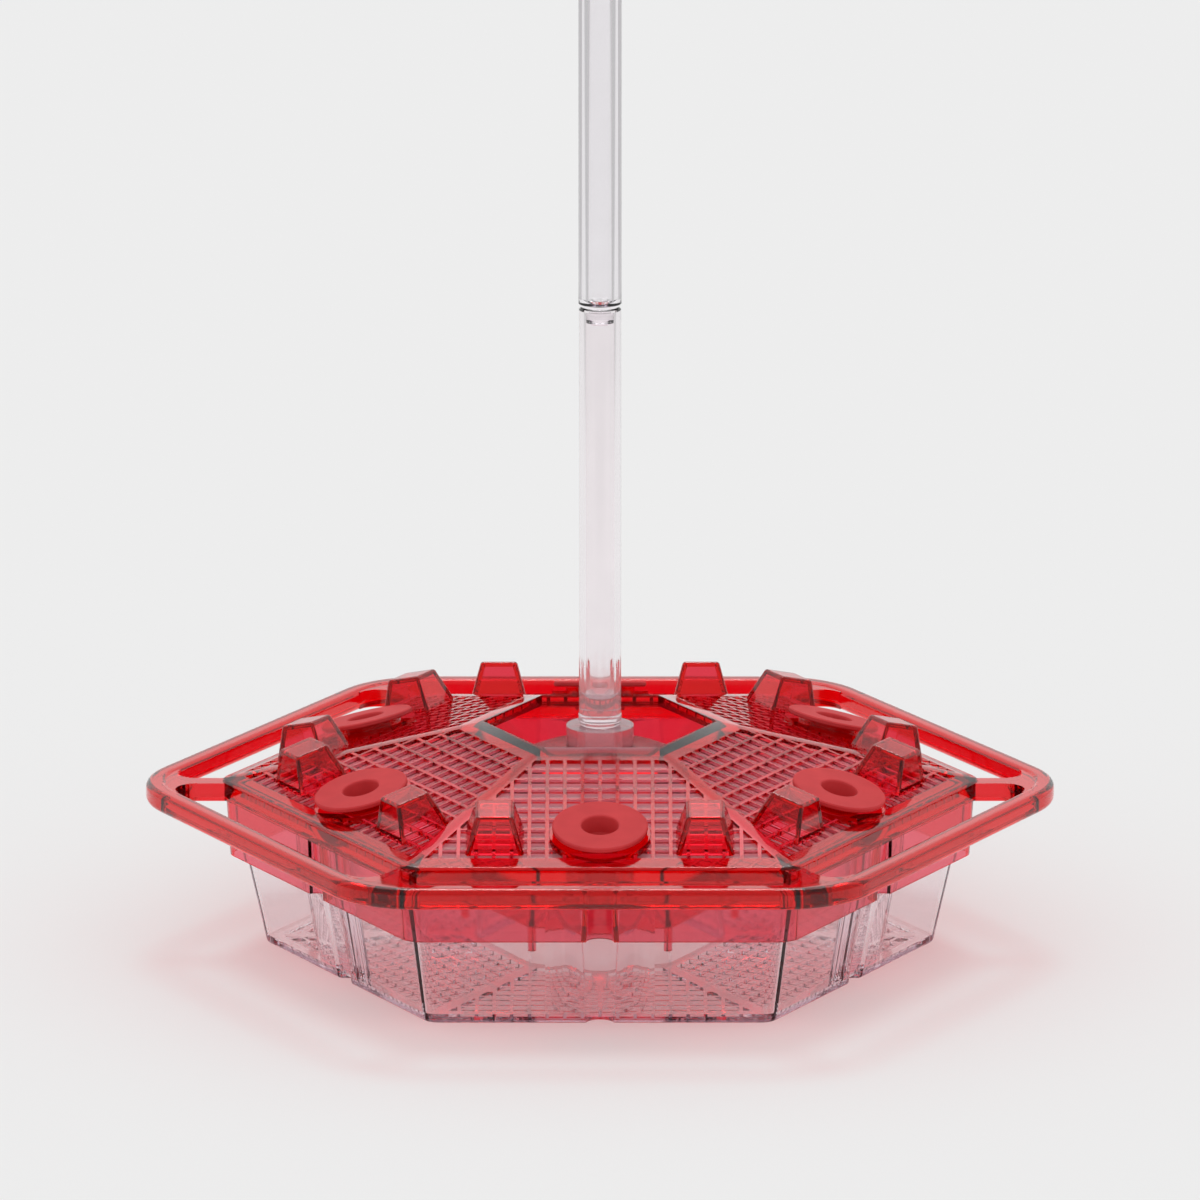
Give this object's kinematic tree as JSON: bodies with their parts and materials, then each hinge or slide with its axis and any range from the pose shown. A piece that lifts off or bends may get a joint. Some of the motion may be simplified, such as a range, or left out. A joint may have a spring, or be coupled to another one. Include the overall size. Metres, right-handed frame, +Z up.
{
  "type": "hummingbird feeder",
  "caption": "Hexagonal saucer feeder: clear reservoir, red waffle-ribbed cover with feeding ports and perch rail, clear centre rod and hanging hook.",
  "frame": {"origin": "centre of the foot of the reservoir, on the surface it stands on", "axes": "+Z up along the rods, -Y towards one flat side of the hexagon (the front), corners of the hexagon on +X and -X"},
  "size_m": [0.2204, 0.1974, 0.3044],
  "materials": {
    "clear_plastic": "clear, glossy",
    "red_clear_plastic": "see-through red, glossy",
    "soft_port": "matt, soft"
  },
  "bodies": {
    "base": {"base_tray": "clear_plastic"},
    "cover": {"cover": "red_clear_plastic", "feeding_port_1": "soft_port", "feeding_port_2": "soft_port", "feeding_port_3": "soft_port", "feeding_port_4": "soft_port", "feeding_port_5": "soft_port", "feeding_port_6": "soft_port"},
    "lower_rod": {"lower_rod": "clear_plastic"},
    "upper_rod": {"upper_rod": "clear_plastic"},
    "hook": {"hook": "clear_plastic"}
  },
  "joints": [
    {"name": "cover_lift", "type": "slide", "parent": "base", "child": "cover", "axis": [0, 0, 1], "range_m": [0, 0.305]},
    {"name": "lower_rod_out", "type": "slide", "parent": "base", "child": "lower_rod", "axis": [0, 0, 1], "range_m": [0, 0.012]},
    {"name": "upper_rod_out", "type": "slide", "parent": "lower_rod", "child": "upper_rod", "axis": [0, 0, 1], "range_m": [0, 0.006]},
    {"name": "hook_out", "type": "slide", "parent": "upper_rod", "child": "hook", "axis": [0, 0, 1], "range_m": [0, 0.014]}
  ]
}
